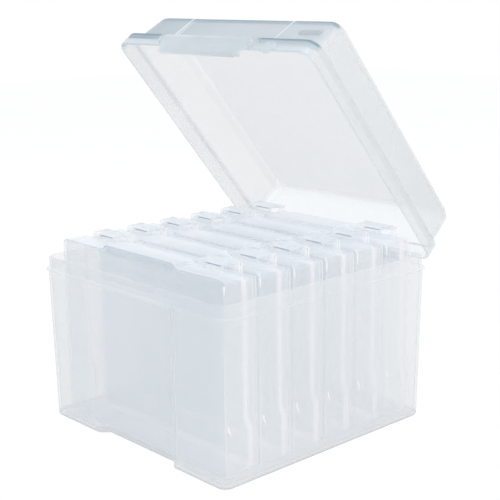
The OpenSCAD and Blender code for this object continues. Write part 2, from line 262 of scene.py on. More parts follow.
def rounded(corners, steps=6):
    """The outline through these corners. Each corner is its two coordinates and its radius."""
    outline = []
    for i, (x, y, radius) in enumerate(corners):
        here = Vector((x, y))
        before = (Vector(corners[i - 1][:2]) - here).normalized()
        after = (Vector(corners[(i + 1) % len(corners)][:2]) - here).normalized()
        half = before.angle(after) / 2
        if half > radians(89.9) or radius == 0:
            outline += [here] * (steps + 1)
            continue
        centre = here + (before + after).normalized() * radius / sin(half)
        start = here + before * radius / tan(half) - centre
        end = here + after * radius / tan(half) - centre
        first = atan2(start.y, start.x)
        sweep_angle = (atan2(end.y, end.x) - first + pi) % (2 * pi) - pi
        outline += [centre + radius * Vector((cos(first + sweep_angle * s / steps),
                                              sin(first + sweep_angle * s / steps)))
                    for s in range(steps + 1)]
    return outline


def loft(form, rings):
    """A closed solid through these rings, which have equal numbers of points, in millimetres."""
    loops = [[form.verts.new(Vector(point) * mm) for point in ring] for ring in rings]
    count = len(loops[0])
    for low, high in zip(loops, loops[1:]):
        for i in range(count):
            form.faces.new((low[i], low[(i + 1) % count], high[(i + 1) % count], high[i]))
    form.faces.new(loops[0])
    form.faces.new(loops[-1])


def bevelled(form, outline, x0, x1, soften=0.3):
    """A solid of that outline in Y and Z, from x0 to x1, with its rims softened."""
    piece = bmesh.new()
    loft(piece, [[(x, y, z) for y, z in outline] for x in (x0, x1)])
    clean(piece)
    rims = [edge for edge in piece.edges if edge.calc_face_angle(0) > radians(50)]
    if soften:
        bmesh.ops.bevel(piece, geom=rims, offset=soften * mm, segments=2, profile=0.5,
                        affect="EDGES", clamp_overlap=True)
    merge(form, piece)


def merge(form, piece):
    """Adds the piece to the form."""
    spare = bpy.data.meshes.new("spare")
    piece.to_mesh(spare)
    piece.free()
    form.from_mesh(spare)
    bpy.data.meshes.remove(spare)


def clean(form):
    """Joins points that coincide and turns all faces outwards."""
    bmesh.ops.remove_doubles(form, verts=form.verts, dist=1e-6)
    bmesh.ops.dissolve_degenerate(form, edges=form.edges, dist=1e-7)
    bmesh.ops.recalc_face_normals(form, faces=form.faces)


def circle(across, up, radius, count=32):
    """A round outline, as points of two coordinates."""
    turns = [2 * pi * i / count for i in range(count)]
    return [Vector((across + radius * cos(a), up + radius * sin(a))) for a in turns]


def eye(form, outline, y, z, radius, x0, x1):
    """A plate of that outline in Y and Z with a bore at y, z, which sees all of the outline."""
    centre = Vector((y, z))
    corners = [atan2(*(point - centre).yx) for point in outline]
    even = [2 * pi * i / 32 - pi for i in range(32)]
    angles = sorted(corners + [a for a in even if all(abs(a - c) > 0.05 for c in corners)])
    outer, inner = [], []
    for a in angles:
        ray = Vector((cos(a), sin(a)))
        hits = []
        for i, start in enumerate(outline):
            edge = start - outline[i - 1]
            bend = ray.x * edge.y - ray.y * edge.x
            if abs(bend) < 1e-9:
                continue
            gap = outline[i - 1] - centre
            along = (gap.x * edge.y - gap.y * edge.x) / bend
            share = (gap.x * ray.y - gap.y * ray.x) / bend
            if along > 0 and -1e-6 <= share <= 1 + 1e-6:
                hits.append(along)
        outer.append(centre + ray * max(hits))
        inner.append(centre + ray * radius)
    rings = [[(x, *point) for point in ring] for x, ring in
             ((x0, inner), (x0, outer), (x1, outer), (x1, inner), (x0, inner))]
    loops = [[form.verts.new(Vector(point) * mm) for point in ring] for ring in rings]
    for low, high in zip(loops, loops[1:]):
        for i in range(len(angles)):
            j = (i + 1) % len(angles)
            form.faces.new((low[i], low[j], high[j], high[i]))


flat_bend, sharp_bend = 0.06, 0.45


def mark_edges(form):
    """Notes on each face how tightly the form bends there: 0 on flats, 1 on its sharpest edges."""
    layer = form.faces.layers.float.new("moulded_edge")
    centres = {face: face.calc_center_median() for face in form.faces}
    for face in form.faces:
        bend = 0
        for edge in face.edges:
            for other in edge.link_faces:
                if other is not face:
                    gap = max((centres[other] - centres[face]).length / mm, 0.1)
                    bend = max(bend, edge.calc_face_angle(0) / gap)
        face[layer] = min(max((bend - flat_bend) / (sharp_bend - flat_bend), 0), 1)


def moulded(name, form, body, material, place=None, soft_angle=38):
    """Makes the form a piece that rides on a body and stands for the CAD node of its name."""
    clean(form)
    mark_edges(form)
    spots = form.verts.layers.float_vector.new("as_moulded")
    for vert in form.verts:
        vert[spots] = vert.co / mm
    if place:
        form.transform(place)
    mesh = bpy.data.meshes.new(name)
    form.to_mesh(mesh)
    form.free()
    mesh.shade_smooth()
    mesh.set_sharp_from_angle(angle=radians(soft_angle))
    mesh.materials.append(material)
    piece = bpy.data.objects.new(name + "_clear", mesh)
    bpy.context.collection.objects.link(piece)
    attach(piece, body)
    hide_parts(name)


cloud_scale = 14
cloud_milk = 0.7
flow_scale = (260, 260, 30)
flow_bump = 0.025
flow_height = 0.0004
patchiness = 0.28
edge_patches = (0.38, 0.6, 0.5, 1)
edge_on = 0.12
roughness_drift = 0.12
light_through = 0.8


def polypropylene(name, tint, milk, edge_highlight_and_shade, opacity, edge_haze=0.2, roughness=0.16, accents=()):
    """Clear moulded plastic with a slight milkiness. It hides more where it is seen edge on and
    along its moulded edges, and it lets most of the light through. Its moulded edges take a
    painted highlight in patches, or a painted shade where their colour is darker than the plastic.
    Each accent is where it lies, its colour and its haze, and most accents paint light or shade.
    Where it lies is a function of x, y and z in millimetres, as the piece was laid out."""
    material = bpy.data.materials.new(name)
    material.use_nodes = True
    material.node_tree.nodes.clear()
    melt = Wire(material.node_tree)
    place = melt.add("ShaderNodeTexCoord", out=3)
    cloud = melt.add("ShaderNodeTexNoise", inputs={
        "Vector": place, "Scale": cloud_scale, "Detail": 3})
    drawn = melt.add("ShaderNodeMapping", inputs={"Vector": place, "Scale": flow_scale})
    flow = melt.add("ShaderNodeTexNoise", inputs={"Vector": drawn, "Scale": 1, "Detail": 2})
    edge = melt.add("ShaderNodeAttribute", {"attribute_name": "moulded_edge"}, out=2)
    laid_out = melt.add("ShaderNodeAttribute", {"attribute_name": "as_moulded"}, out=1)
    x, y, z = (melt.add("ShaderNodeSeparateXYZ", inputs={0: laid_out}, out=i) for i in range(3))
    facing = melt.add("ShaderNodeLayerWeight", inputs={"Blend": 0.5}, out=1)
    path = 1 / (1 - facing).at_least(edge_on)
    seen = 1 - (1 - opacity * (1 - patchiness / 2 + patchiness * cloud)) ** path
    colour = melt.add("ShaderNodeMix", {"data_type": "RGBA"}, {
        0: cloud * cloud_milk + flow * (1 - cloud_milk), 6: (*tint, 1), 7: (*milk, 1)}, out=2)
    # The moulded edges get a painted highlight in patches, or a painted shade where the edge colour
    # is darker.
    layers = [(edge * cloud.ramp(*edge_patches), edge_highlight_and_shade, edge_haze)]
    layers += [(where(melt, x, y, z), accent, haze) for where, accent, haze in accents]
    for share, accent, haze in layers:
        colour = melt.add("ShaderNodeMix", {"data_type": "RGBA"}, {
            0: share, 6: colour, 7: (*accent, 1)}, out=2)
        if haze:
            seen = seen + (1 - seen) * share * haze
    alpha = seen * (1 - light_through * melt.ray("Is Shadow Ray", "Is Diffuse Ray"))
    bump = melt.add("ShaderNodeBump", inputs={
        "Height": flow, "Strength": flow_bump, "Distance": flow_height})
    finish = melt.add("ShaderNodeBsdfPrincipled", inputs={
        "Base Color": colour, "Roughness": roughness + roughness_drift * cloud, "Alpha": alpha,
        "Normal": bump, "IOR": 1.4, "Specular IOR Level": 0.7})
    melt.add("ShaderNodeOutputMaterial", inputs={"Surface": finish})
    return material


def faces_way(melt, direction, low=0.45, high=0.85):
    """1 on the sides that face that way or straight away from it."""
    normal = melt.add("ShaderNodeTexCoord", out=1)
    towards = melt.add("ShaderNodeVectorMath", {"operation": "DOT_PRODUCT"}, {
        0: normal, 1: direction}, out=1)
    return melt.maths("ABSOLUTE", towards).ramp(low, high)


foot_shade = (2.4, 5.5)
floor_ease = 0.55


def painted_foot_shade(melt, x, y, z):
    """1 along the foot of the box, and less in its floor: a painted shade at the bottom."""
    return z.ramp(*foot_shade, 1, 0) * (1 - floor_ease * faces_way(melt, (0, 0, 1)))


def box_neck(melt, x, y, z):
    """1 in the front of the flange and the neck."""
    return z.ramp(flange_under - 2, flange_top + 1) * faces_way(melt, (0, 1, 0))


def side_walls_painted_light(melt, x, y, z):
    """1 in the two side walls, painted lighter on the box and the cases and darker on the lid, as
    the side light falls on them.
    """
    return faces_way(melt, (1, 0, 0))


box_plastic = polypropylene(
    "box_polypropylene", tint=(0.70, 0.74, 0.77), milk=(0.77, 0.80, 0.83),
    edge_highlight_and_shade=(0.82, 0.84, 0.86), opacity=0.155, edge_haze=0.06,
    accents=[(side_walls_painted_light, (0.76, 0.775, 0.79), 0), (box_neck, (0.70, 0.74, 0.78), 0),
             (painted_foot_shade, (0.50, 0.515, 0.55), 0.3)])


def frame_ring(z, half_x, front, rear, radius, pocket_half, pocket_y, pocket_run, pocket_r):
    """A rounded rectangle at height z, with a pocket in its front side as deep as pocket_y says."""
    corners = [(-half_x, front, radius), (-pocket_half, front, pocket_r),
               (-pocket_half + pocket_run, pocket_y, pocket_r),
               (pocket_half - pocket_run, pocket_y, pocket_r), (pocket_half, front, pocket_r),
               (half_x, front, radius), (half_x, rear, radius), (-half_x, rear, radius)]
    return [(x, y, z) for x, y in rounded(corners)]


def quarter(radius, steps=4):
    """Pairs of inset and rise along a quarter round of that radius, from the flat to the wall."""
    return [(radius * (1 - sin(pi / 2 * s / steps)), radius * (1 - cos(pi / 2 * s / steps)))
            for s in range(steps + 1)]


def wall_ring(z, inset, thick, recessed, bevel=0.0):
    """A ring of the tub's wall; thick is 0 on its outside and the wall's thickness inside."""
    lean = lean_out * z / flange_top
    half_x = foot_half_x + lean - inset - thick
    front = -foot_half_y - lean + inset + thick
    half = recess_half + lean + (2 ** 0.5 - 1) * thick - inset
    pocket_y = -foot_half_y + recess_depth + thick + bevel if recessed else front
    run = pocket_y - front if recessed else recess_depth
    radius = corner_r - inset / 2 - thick
    return frame_ring(z, half_x, front, -front, radius, half, pocket_y, run, recess_round)


def rim_ring(z, half, inset, radius):
    """A plain ring of the flange or the neck."""
    return frame_ring(z, half[0] - inset, -half[1] + inset, half[1] - inset, radius - inset,
                      recess_half, -half[1] + inset, recess_depth, 0)


tub = bmesh.new()
rings = [wall_ring(rise, inset, 0, True, inset * recess_bevel / foot_round)
         for inset, rise in quarter(foot_round)]
rings += [wall_ring(z, 0, 0, True) for z in (*wall_levels, flange_under)]
rings += [wall_ring(flange_under, 0, 0, False)]
rings += [rim_ring(z, flange_half, inset, flange_r) for z, inset in (
    (flange_under, flange_bevel), (flange_under + flange_bevel, 0),
    (flange_top - flange_bevel, 0), (flange_top, flange_bevel))]
rings += [rim_ring(z, neck_half, inset, neck_r) for z, inset in (
    (flange_top, -neck_fillet), (flange_top + neck_fillet, 0),
    (neck_top - neck_bevel, 0), (neck_top, neck_bevel),
    (neck_top, wall - neck_bevel), (neck_top - neck_bevel, wall), (flange_top, wall))]
rings += [wall_ring(flange_top, 0, wall, True)]
rings += [wall_ring(z, 0, wall, True) for z in reversed(wall_levels)]
rings += [wall_ring(floor_t + rise, inset, wall, True)
          for inset, rise in reversed(quarter(inner_round))]
loft(tub, rings)

bracket_root = foot_half_y + lean_out - wall / 2
bracket_under = 110
bracket_top = 122
bracket_web = hinge_y - heel_length * sin(radians(heel_turn)) - heel_half - heel_play
slant = ear_r * diagonal
for side in (-1, 1):
    middle = side * hinge_x
    ear = rounded([(bracket_root, bracket_under, 0), (hinge_y + slant, hinge_z - slant, 0.6),
                   (hinge_y + ear_r, hinge_z + 0.6, 1.6), (hinge_y + 0.4, hinge_z + ear_r, 1.8),
                   (hinge_y - ear_r, hinge_z + ear_r, 2.4), (hinge_y - ear_r, bracket_top, 0),
                   (bracket_root, bracket_top, 0)])
    for edge in (middle - arm_w / 2 - side_play - ear_t, middle + arm_w / 2 + side_play):
        eye(tub, ear, hinge_y, hinge_z, pin_r + bore_play, edge, edge + ear_t)
    web = [(bracket_root, bracket_under), (bracket_web, bracket_under + 4),
           (bracket_web, bracket_top), (bracket_root, bracket_top)]
    bevelled(tub, [Vector(point) for point in web], middle - arm_w / 2 - side_play,
             middle + arm_w / 2 + side_play, 0)
moulded("base", tub, "base", box_plastic)


# The lid
# A deep moulded cover with a wide band at its rim, set-in upper walls, a shallow panel in its front
# wall, and hinge arms, pins, latch ears and a round lift tab moulded on. It is laid out closed and
# then turned open.
lid_half = (106.9, 108.15)
lid_wall = 1.5
rim_z = 123.3
band_h = 12.8
band_round, band_soft = 1.2, 0.35
shelf_t = 1.6
shelf_fillet = 0.8
lid_h = 46.6
lid_r = 11
bead_h = 6.2
bead_out = 0.45
bead_round = 0.5
rim_round = 0.4
set_in = 5.5
set_in_rear = 0.5
side_lean = 2.7
front_lean = 5.3
top_round = 8
panel_half = 55
panel_depth = 1.8
panel_round = 0.8
crown_least_r = 2
lid_open = -joints["lid_hinge"]["range_deg"][0]
hinge_point = Vector(joints["lid_hinge"]["pos_m"])
lid_turn = (Matrix.Translation(hinge_point) @ Matrix.Rotation(-radians(lid_open), 4, "X")
            @ Matrix.Translation(-hinge_point))
lid_forward = Vector((0, -1, 0))
lid_forward.rotate(lid_turn.to_3x3())
band_top = rim_z + band_h
lid_top = rim_z + lid_h
slot_x, slot_z = 84, rim_z + 27
slot_half = 11
slot_r = 2.8
slot_out = 0.5
front_zone = (-94, -84)
lines_zone = (-92, -84)
rear_zone = (95, 103)
left_part = (-75, -55)
right_fade = (-110, 20, 1, 0.66)


def front_wall_y(z):
    """Where the outside of the lid's leaning front wall is at height z."""
    return -lid_half[1] + set_in + front_lean * (z - band_top) / (lid_h - band_h)


def lid_front_painted_shade(melt, x, y, z):
    """1 in the front wall and the front band, and a little less to the right, where a painted shade
    darkens the lid's front.
    """
    return y.ramp(*front_zone, 1, 0) * faces_way(melt, lid_forward) * x.ramp(*right_fade)


def band_left_painted_shade(melt, x, y, z):
    """1 in the band's front, left of the latch, where the painted shade is darkest."""
    below = z.ramp(band_top - 2, band_top + 1, 1, 0)
    return lid_front_painted_shade(melt, x, y, z) * x.ramp(*left_part, 1, 0) * below


def lid_lip_painted_light(melt, x, y, z):
    """1 on the lip at the front rim, painted paler as a highlight within the front's painted shade.
    """
    return lid_front_painted_shade(melt, x, y, z) * z.ramp(rim_z + bead_h - 1, rim_z + bead_h, 1, 0)


def front_shade_lines(melt, x, y, z):
    """1 along the two front edges that run from side to side, painted as dark lines of shade."""
    low_line = z.between(band_top - 4.5, band_top - 1.5, band_top + 0.3, band_top + 1.2)
    high_line = z.ramp(lid_top - 10, lid_top - 5)
    at_front_wall = y.ramp(*lines_zone, 1, 0) * faces_way(melt, lid_forward, 0.2, 0.6)
    return at_front_wall * (low_line + high_line)


def panel_edge_highlights(melt, x, y, z):
    """1 on the upright edges of the shallow panel, painted pale as highlights."""
    aside = melt.maths("ABSOLUTE", x)
    upright = aside.between(panel_half - 0.6, panel_half, panel_half + 1, panel_half + 1.8)
    return y.ramp(*front_zone, 1, 0) * upright * z.ramp(band_top, band_top + 1)


def slot_painted_shade(melt, x, y, z):
    """1 on the low mark in the right end of the front wall, painted darker as the shade in the
    slot.
    """
    wall_y = front_wall_y(0) + (front_wall_y(1) - front_wall_y(0)) * z
    return (wall_y - y).ramp(0.1, 0.25) * z.ramp(slot_z - 4, slot_z - 3)


def lid_rear_painted_light(melt, x, y, z):
    """1 in the rear wall, painted paler as lit."""
    return y.ramp(*rear_zone) * faces_way(melt, lid_forward)


# The lid's edge colour is darker than its plastic: a painted shade along its moulded edges.
lid_plastic = polypropylene(
    "lid_polypropylene", tint=(0.72, 0.75, 0.775), milk=(0.77, 0.79, 0.805),
    edge_highlight_and_shade=(0.56, 0.60, 0.63), opacity=0.165, edge_haze=0.3, roughness=0.3,
    accents=[(side_walls_painted_light, (0.68, 0.70, 0.71), 0.07), (lid_rear_painted_light, (0.80, 0.85, 0.90), 0),
             (lid_front_painted_shade, (0.42, 0.50, 0.56), 0.58), (band_left_painted_shade, (0.32, 0.41, 0.48), 0.35),
             (lid_lip_painted_light, (0.66, 0.73, 0.78), 0), (front_shade_lines, (0.16, 0.27, 0.35), 0.75),
             (panel_edge_highlights, (0.84, 0.88, 0.91), 0.12), (slot_painted_shade, (0.42, 0.47, 0.52), 0.24)])


def band_ring(z, inset):
    """A plain ring of the lid's band."""
    front = -lid_half[1] + inset
    return frame_ring(z, lid_half[0] - inset, front, -front, lid_r - inset, panel_half, front,
                      panel_depth, 0)


def crown_ring(z, inset, back_off=0.0):
    """A ring of the lid's upper walls; back_off draws it in around the rounded top edge."""
    share = (z - rim_z - band_h) / (lid_h - band_h)
    half_x = lid_half[0] - set_in - inset - back_off - side_lean * share
    front = -lid_half[1] + set_in + inset + back_off + front_lean * share
    rear = lid_half[1] - set_in_rear - inset - back_off
    radius = max(lid_r - set_in / 2 - inset, crown_least_r)
    return frame_ring(z, half_x, front, rear, radius, panel_half + inset,
                      front + panel_depth * (1 - share), panel_depth, panel_round)


cover_form = bmesh.new()
rings = [crown_ring(lid_top - lid_wall - rise, lid_wall, inset)
         for inset, rise in quarter(top_round - lid_wall, 6)]
shelf_under = band_top - shelf_t
rings += [crown_ring(shelf_under + shelf_fillet, lid_wall),
          crown_ring(shelf_under, lid_wall - shelf_fillet)]
rings += [band_ring(z, inset) for z, inset in (
    (shelf_under, lid_wall + shelf_fillet), (shelf_under - shelf_fillet, lid_wall),
    (rim_z + rim_round, lid_wall), (rim_z, lid_wall - rim_round), (rim_z, rim_round - bead_out),
    (rim_z + bead_round, -bead_out), (rim_z + bead_h - bead_round, -bead_out), (rim_z + bead_h, 0),
    (band_top - band_round, 0), (band_top - band_soft, band_soft), (band_top, band_round))]
rings += [crown_ring(band_top, -shelf_fillet), crown_ring(band_top + shelf_fillet, 0)]
rings += [crown_ring(lid_top - rise, 0, inset) for inset, rise in reversed(quarter(top_round, 6))]
loft(cover_form, rings)

knuckle_r = 2.9
pin_reach = arm_w / 2 + side_play + ear_t - pin_short
for side in (-1, 1):
    middle = side * hinge_x
    pin = circle(hinge_y, hinge_z, pin_r)
    bevelled(cover_form, pin, middle - pin_reach, middle + pin_reach, pin_bevel)
    knuckle = circle(hinge_y, hinge_z, knuckle_r)
    bevelled(cover_form, knuckle, middle - arm_w / 2, middle + arm_w / 2)
    slant = knuckle_r * diagonal
    web = [(lid_half[1] - lid_wall / 2, rim_z), (lid_half[1] + side_play, rim_z),
           (hinge_y - slant, hinge_z - slant), (hinge_y, hinge_z),
           (hinge_y + slant, hinge_z + slant),
           (lid_half[1] - lid_wall / 2, hinge_z + 2 * knuckle_r)]
    web = [Vector(point) for point in web]
    bevelled(cover_form, web, middle - arm_w / 2, middle + arm_w / 2)
    heel_end = hinge_y + heel_length
    heel = rounded([(hinge_y, hinge_z - heel_half, 0), (heel_end, hinge_z - heel_half, 0.5),
                    (heel_end, hinge_z + heel_half, 0.5), (hinge_y, hinge_z + heel_half, 0)])
    bevelled(cover_form, heel, middle - arm_w / 2, middle + arm_w / 2)

latch_half = 49.5
latch_barrel_r = 1.7
latch_pin_r = 1.0
latch_ear_t = 3
latch_y = -lid_half[1] - latch_barrel_r - side_play
latch_z = rim_z + 7.6
ear = rounded([(-lid_half[1] + lid_wall / 2, rim_z + 1, 0), (latch_y - 2, rim_z + 1, 2.4),
               (latch_y - 2, latch_z + 2, 1.9), (-lid_half[1] + lid_wall / 2, latch_z + 3.4, 0)])
for edge in (-latch_half - side_play - latch_ear_t, latch_half + side_play):
    eye(cover_form, ear, latch_y, latch_z, latch_pin_r + bore_play, edge, edge + latch_ear_t)

tab_x, tab_z = 68, rim_z + 2
tab_r = 6
tab_round = 0.6
tab_front = -lid_half[1] - 2.3
tab_back = -lid_half[1] - 0.3
tab = bmesh.new()
loft(tab, [[(x, y, z) for x, z in circle(tab_x, tab_z, radius)] for y, radius in (
    (tab_back, tab_r), (tab_front + tab_round, tab_r), (tab_front, tab_r - tab_round))])
merge(cover_form, tab)

slot_sunk = 0.6
slot_round = 0.3
slot = bmesh.new()
slot_rings = []
half_turn = [pi * i / 10 - pi / 2 for i in range(11)]
slot_end = slot_half - slot_r
for out, radius in ((-slot_sunk, slot_r), (slot_out - slot_round, slot_r),
                    (slot_out, slot_r - slot_round)):
    ends = [(slot_x + side * (slot_end + radius * cos(a)), slot_z + side * radius * sin(a))
            for side in (1, -1) for a in half_turn]
    slot_rings.append([(x, front_wall_y(z) - out, z) for x, z in ends])
loft(slot, slot_rings)
merge(cover_form, slot)
moulded("lid", cover_form, "lid", lid_plastic, lid_turn)


# The front latch
# A flap of clear blue-grey plastic that turns on two integral pins between the lid's ears. The barb
# on its inner side goes under the box's flange.
flap_t = 2
flap_taper = 7
flap_drop = 11
flap_corner = 3
flap_bevel = 0.5
shoulder_z = rim_z + 3
shoulder_r = 4
hook_y = -104.55
hook_z = rim_z - 2.8
hook_t = 1.8
latch_plastic = polypropylene(
    "latch_polypropylene", tint=(0.52, 0.59, 0.64), milk=(0.62, 0.68, 0.72),
    edge_highlight_and_shade=(0.78, 0.83, 0.86), opacity=0.32)

flap_form = bmesh.new()
flap_face = latch_y - latch_barrel_r + 0.2
flap_low = rim_z - flap_drop
foot_half = latch_half - flap_taper
flap = rounded([(-latch_half, latch_z, 0), (-latch_half, shoulder_z, shoulder_r),
                (-foot_half, flap_low, flap_corner), (foot_half, flap_low, flap_corner),
                (latch_half, shoulder_z, shoulder_r), (latch_half, latch_z, 0)])
flap_rings = []
for y, inset in ((flap_face, flap_bevel), (flap_face + flap_bevel, 0),
                 (flap_face + flap_t - flap_bevel, 0), (flap_face + flap_t, flap_bevel)):
    flap_rings.append([(x * (1 - inset / latch_half), y,
                        z + (inset if z < flap_low + flap_corner else 0)) for x, z in flap])
loft(flap_form, flap_rings)
bevelled(flap_form, circle(latch_y, latch_z, latch_barrel_r), -latch_half, latch_half)
pin_reach = latch_half + side_play + latch_ear_t - pin_short
bevelled(flap_form, circle(latch_y, latch_z, latch_pin_r), -pin_reach, pin_reach, pin_bevel)
barb_half = foot_half - flap_corner
barb = rounded([(flap_face + 1, flap_low + 2, 0), (flap_face + 1, hook_z, 0), (hook_y, hook_z, 0.4),
                (hook_y, hook_z - hook_t, 0.5)])
bevelled(flap_form, barb, -barb_half, barb_half)
moulded("lid_latch", flap_form, "lid_latch", latch_plastic, lid_turn)


# The inner cases' trays
# Each inner case is a thin clear box for prints. Its tray is the deep front half: a plate with
# softened edges, walls that run back to a rim, which steps back in an S curve near the bottom, and
# a raised middle at its top.
case_half = 95
case_h = 142.5
case_round = 4.5
case_wall = 1.4
tray_t = 21
step_out = 4
step_z = 37
step_run = 13
raised_half = 39
raised_h = 3.5
raised_slope = 4.5
raised_bend = 1.6
plate_round = 1.1
inner_bend = 1.4
rim_bevel = 0.3
rim_soft = 0.4
# A pale colour painted on the cases' edges and seams as highlights.
painted_edge_highlight = (0.90, 0.88, 0.90)
first_row = (-90 * mm, -80 * mm)
plate_way = ((0, 1, 0), 0.6, 0.9)
rim_span = (15.5, 18, 23, 26)
plate_top_rise = (120, 130)
line_rise = (130, 138)
corner_rise = (126, 138)
top_rise = (130, 140)


def at_front(melt):
    """1 on the front case, which has no other case before it, and 0.2 on the others."""
    place = melt.add("ShaderNodeTexCoord", out=3)
    row = melt.add("ShaderNodeSeparateXYZ", inputs={0: place}, out=1)
    return row.ramp(*first_row, 1, 0.2)


def raised_face_painted_shade(melt, x, y, z):
    """1 on the front of the raised middle, painted darker as shade."""
    across = melt.maths("ABSOLUTE", x).ramp(raised_half, raised_half + raised_slope + 1, 1, 0)
    return z.ramp(case_h - 5, case_h - 1) * across * faces_way(melt, *plate_way) * at_front(melt)


def front_head_painted_shade(melt, x, y, z):
    """1 on the front case's plate where it stands above the box's neck, which gets a faint painted
    shade.
    """
    return z.ramp(*plate_top_rise) * faces_way(melt, *plate_way) * at_front(melt).ramp(0.6, 1)


def top_line(melt, x, y, z):
    """1 in the thin shade along the top edge of the front plate."""
    upper = faces_way(melt, (0, 0, 1), 0.1, 0.4) * z.ramp(*line_rise)
    return y.ramp(plate_round, plate_round + 0.2, 1, 0) * upper * at_front(melt)


def head_corner_glint(melt, x, y, z):
    """1 along the upper part of the front plate's upright edges, painted white as glints."""
    return y.ramp(0.8, 1.2, 1, 0) * faces_way(melt, (1, 0, 0), 0.3, 0.6) * z.ramp(*corner_rise)


def case_top(melt, x, y, z):
    """1 on the sides that face up, which take the light from above."""
    return faces_way(melt, (0, 0, 1), 0.5, 0.8) * z.ramp(*top_rise)


def rim_seam_highlight(melt, x, y, z):
    """1 where the walls overlap at the rim on both sides, which bends back at the low step. The
    pale colour there is a painted highlight streak.
    """
    behind = y - z.ramp(step_z - step_run / 2, step_z + step_run / 2, step_out, 0)
    return faces_way(melt, (1, 0, 0)) * behind.between(*rim_span)


def side_pip_glint(melt, x, y, z):
    """1 on the pips that stand proud of the tray's sides, painted white as glints."""
    return melt.maths("ABSOLUTE", x).ramp(case_half + 0.1, case_half + 0.25)


tray_plastic = polypropylene(
    "tray_polypropylene", tint=(0.70, 0.755, 0.80), milk=(0.78, 0.82, 0.85), edge_highlight_and_shade=painted_edge_highlight,
    opacity=0.12,
    accents=[(front_head_painted_shade, (0.64, 0.70, 0.76), 0.015), (raised_face_painted_shade, (0.54, 0.62, 0.70), 0.12),
             (case_top, (0.82, 0.87, 0.92), 0), (side_walls_painted_light, (0.76, 0.78, 0.80), 0),
             (head_corner_glint, (1, 1, 1), 0.3), (top_line, (0.42, 0.50, 0.60), 0.12),
             (rim_seam_highlight, painted_edge_highlight, 0.04), (side_pip_glint, (1, 1, 1), 0.5)])


def case_outline(inset):
    """The outline of a standing case in X and Z, drawn in by inset."""
    half = case_half - inset
    high = case_h - inset
    radius = case_round - inset
    top = high + raised_h
    middle = raised_half - inset
    return rounded([(-half, inset, radius), (half, inset, radius), (half, high, radius),
                    (middle + raised_slope, high, raised_bend), (middle, top, raised_bend),
                    (-middle, top, raised_bend), (-middle - raised_slope, high, raised_bend),
                    (-half, high, radius)])


def rim_at(z):
    """How far behind the front plate the tray's rim lies at height z."""
    share = min(max((step_z + step_run / 2 - z) / step_run, 0), 1)
    return tray_t + step_out * share * share * (3 - 2 * share)


def split_sides(outline):
    """Adds points on the long upright sides, so that the rim's step can bend there."""
    result = []
    for i, point in enumerate(outline):
        before = outline[i - 1]
        if abs(point.y - before.y) > 60:
            levels = [step_z + step_run * (s / 10 - 0.5) for s in range(11)] + [70, 100]
            if before.y > point.y:
                levels.reverse()
            result += [Vector((point.x, level)) for level in levels]
        result.append(point)
    return result


def case_ring(inset, depth):
    """A ring of a case's wall. The depth is a distance behind the front plate, or gives it for a
    height."""
    return [(point.x, depth(point.y) if callable(depth) else depth, point.y)
            for point in split_sides(case_outline(inset))]


snap_half = 13.5
snap_x = 62.5
snap_axis = (29.9, 146.6)
snap_length = 14.4
catch_t = 2
catch_h = 1.6
catch_short = 3
pip_y, pip_z, pip_out = 1.6, 36, 0.2
pip_half = 3.5
pip_slope = (0, 0.5, 2)
pip_width = (0.8, 1.1, 0.8)
pip_bend = (0.3, 0.5, 0.3)
pip_sunk = 0.5


def tray_form():
    """One tray, standing with its front plate at depth 0."""
    form = bmesh.new()
    rings = [case_ring(inset, rise) for inset, rise in quarter(plate_round)]
    rings += [case_ring(0, lambda z: rim_at(z) - rim_soft), case_ring(rim_soft, rim_at),
              case_ring(case_wall - rim_bevel, rim_at),
              case_ring(case_wall, lambda z: rim_at(z) - rim_bevel)]
    rings += [case_ring(case_wall + inset, case_wall + rise)
              for inset, rise in reversed(quarter(inner_bend))]
    loft(form, rings)
    catch_y = snap_axis[0] - snap_length + 1.9
    catch = rounded([(catch_y, case_h - case_wall, 0), (catch_y + catch_t, case_h - case_wall, 0),
                     (catch_y + catch_t, case_h + catch_h, 0.8), (catch_y, case_h + catch_h, 0.8)])
    levels = (pip_z + pip_half, pip_z, pip_z - pip_half)
    near = [(pip_y + shift, z, bend) for z, shift, bend in zip(levels, pip_slope, pip_bend)]
    far = [(y + width, z, bend) for (y, z, bend), width in zip(near, pip_width)]
    pip = rounded(near + far[::-1])
    for side in (-1, 1):
        catch_half = snap_half - catch_short
        bevelled(form, catch, side * snap_x - catch_half, side * snap_x + catch_half)
        middle = side * (case_half + pip_out / 2)
        bevelled(form, pip, middle - pip_sunk - pip_out / 2, middle + pip_sunk + pip_out / 2, 0.15)
    return form


def case_place(k):
    """Where case k's front plate and underside meet."""
    low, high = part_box(f"case_{k}_tray")
    return Matrix.Translation(((low.x + high.x) / 2, low.y, low.z))


for k in range(1, 7):
    moulded(f"case_{k}_tray", tray_form(), f"case_{k}", tray_plastic, case_place(k))


# The inner cases' covers
# The shallow back half of each case, set in from the tray, with a lip inside the tray's rim and two
# pairs of ears on top that its snap latches turn between.
case_t = 32
cover_inset = 2
lip_t = 2.4
lip_inset = 1.65
seam_step = 2
seam_span = (26, 28.5, 32, 33.5)
back_rise = (118, 126)
snap_barrel_r = 1.9
snap_pin_r = 1.0
snap_ear_t = 2.4
snap_play = 0.3
ear_root = 3


def back_seam_highlight(melt, x, y, z):
    """1 on both sides near the cover's back, below the low step a little further back. The pale
    colour there is a painted highlight streak.
    """
    behind = y - z.ramp(step_z - step_run / 2, step_z + step_run / 2, seam_step, 0)
    return faces_way(melt, (1, 0, 0)) * behind.between(*seam_span)


def back_corner_highlight(melt, x, y, z):
    """1 along the upper part of the back plate's upright edges, painted pale as highlights."""
    at_back = y.ramp(case_t - 1.8, case_t - 1.2)
    return at_back * faces_way(melt, (1, 0, 0), 0.1, 0.3) * z.ramp(*back_rise)


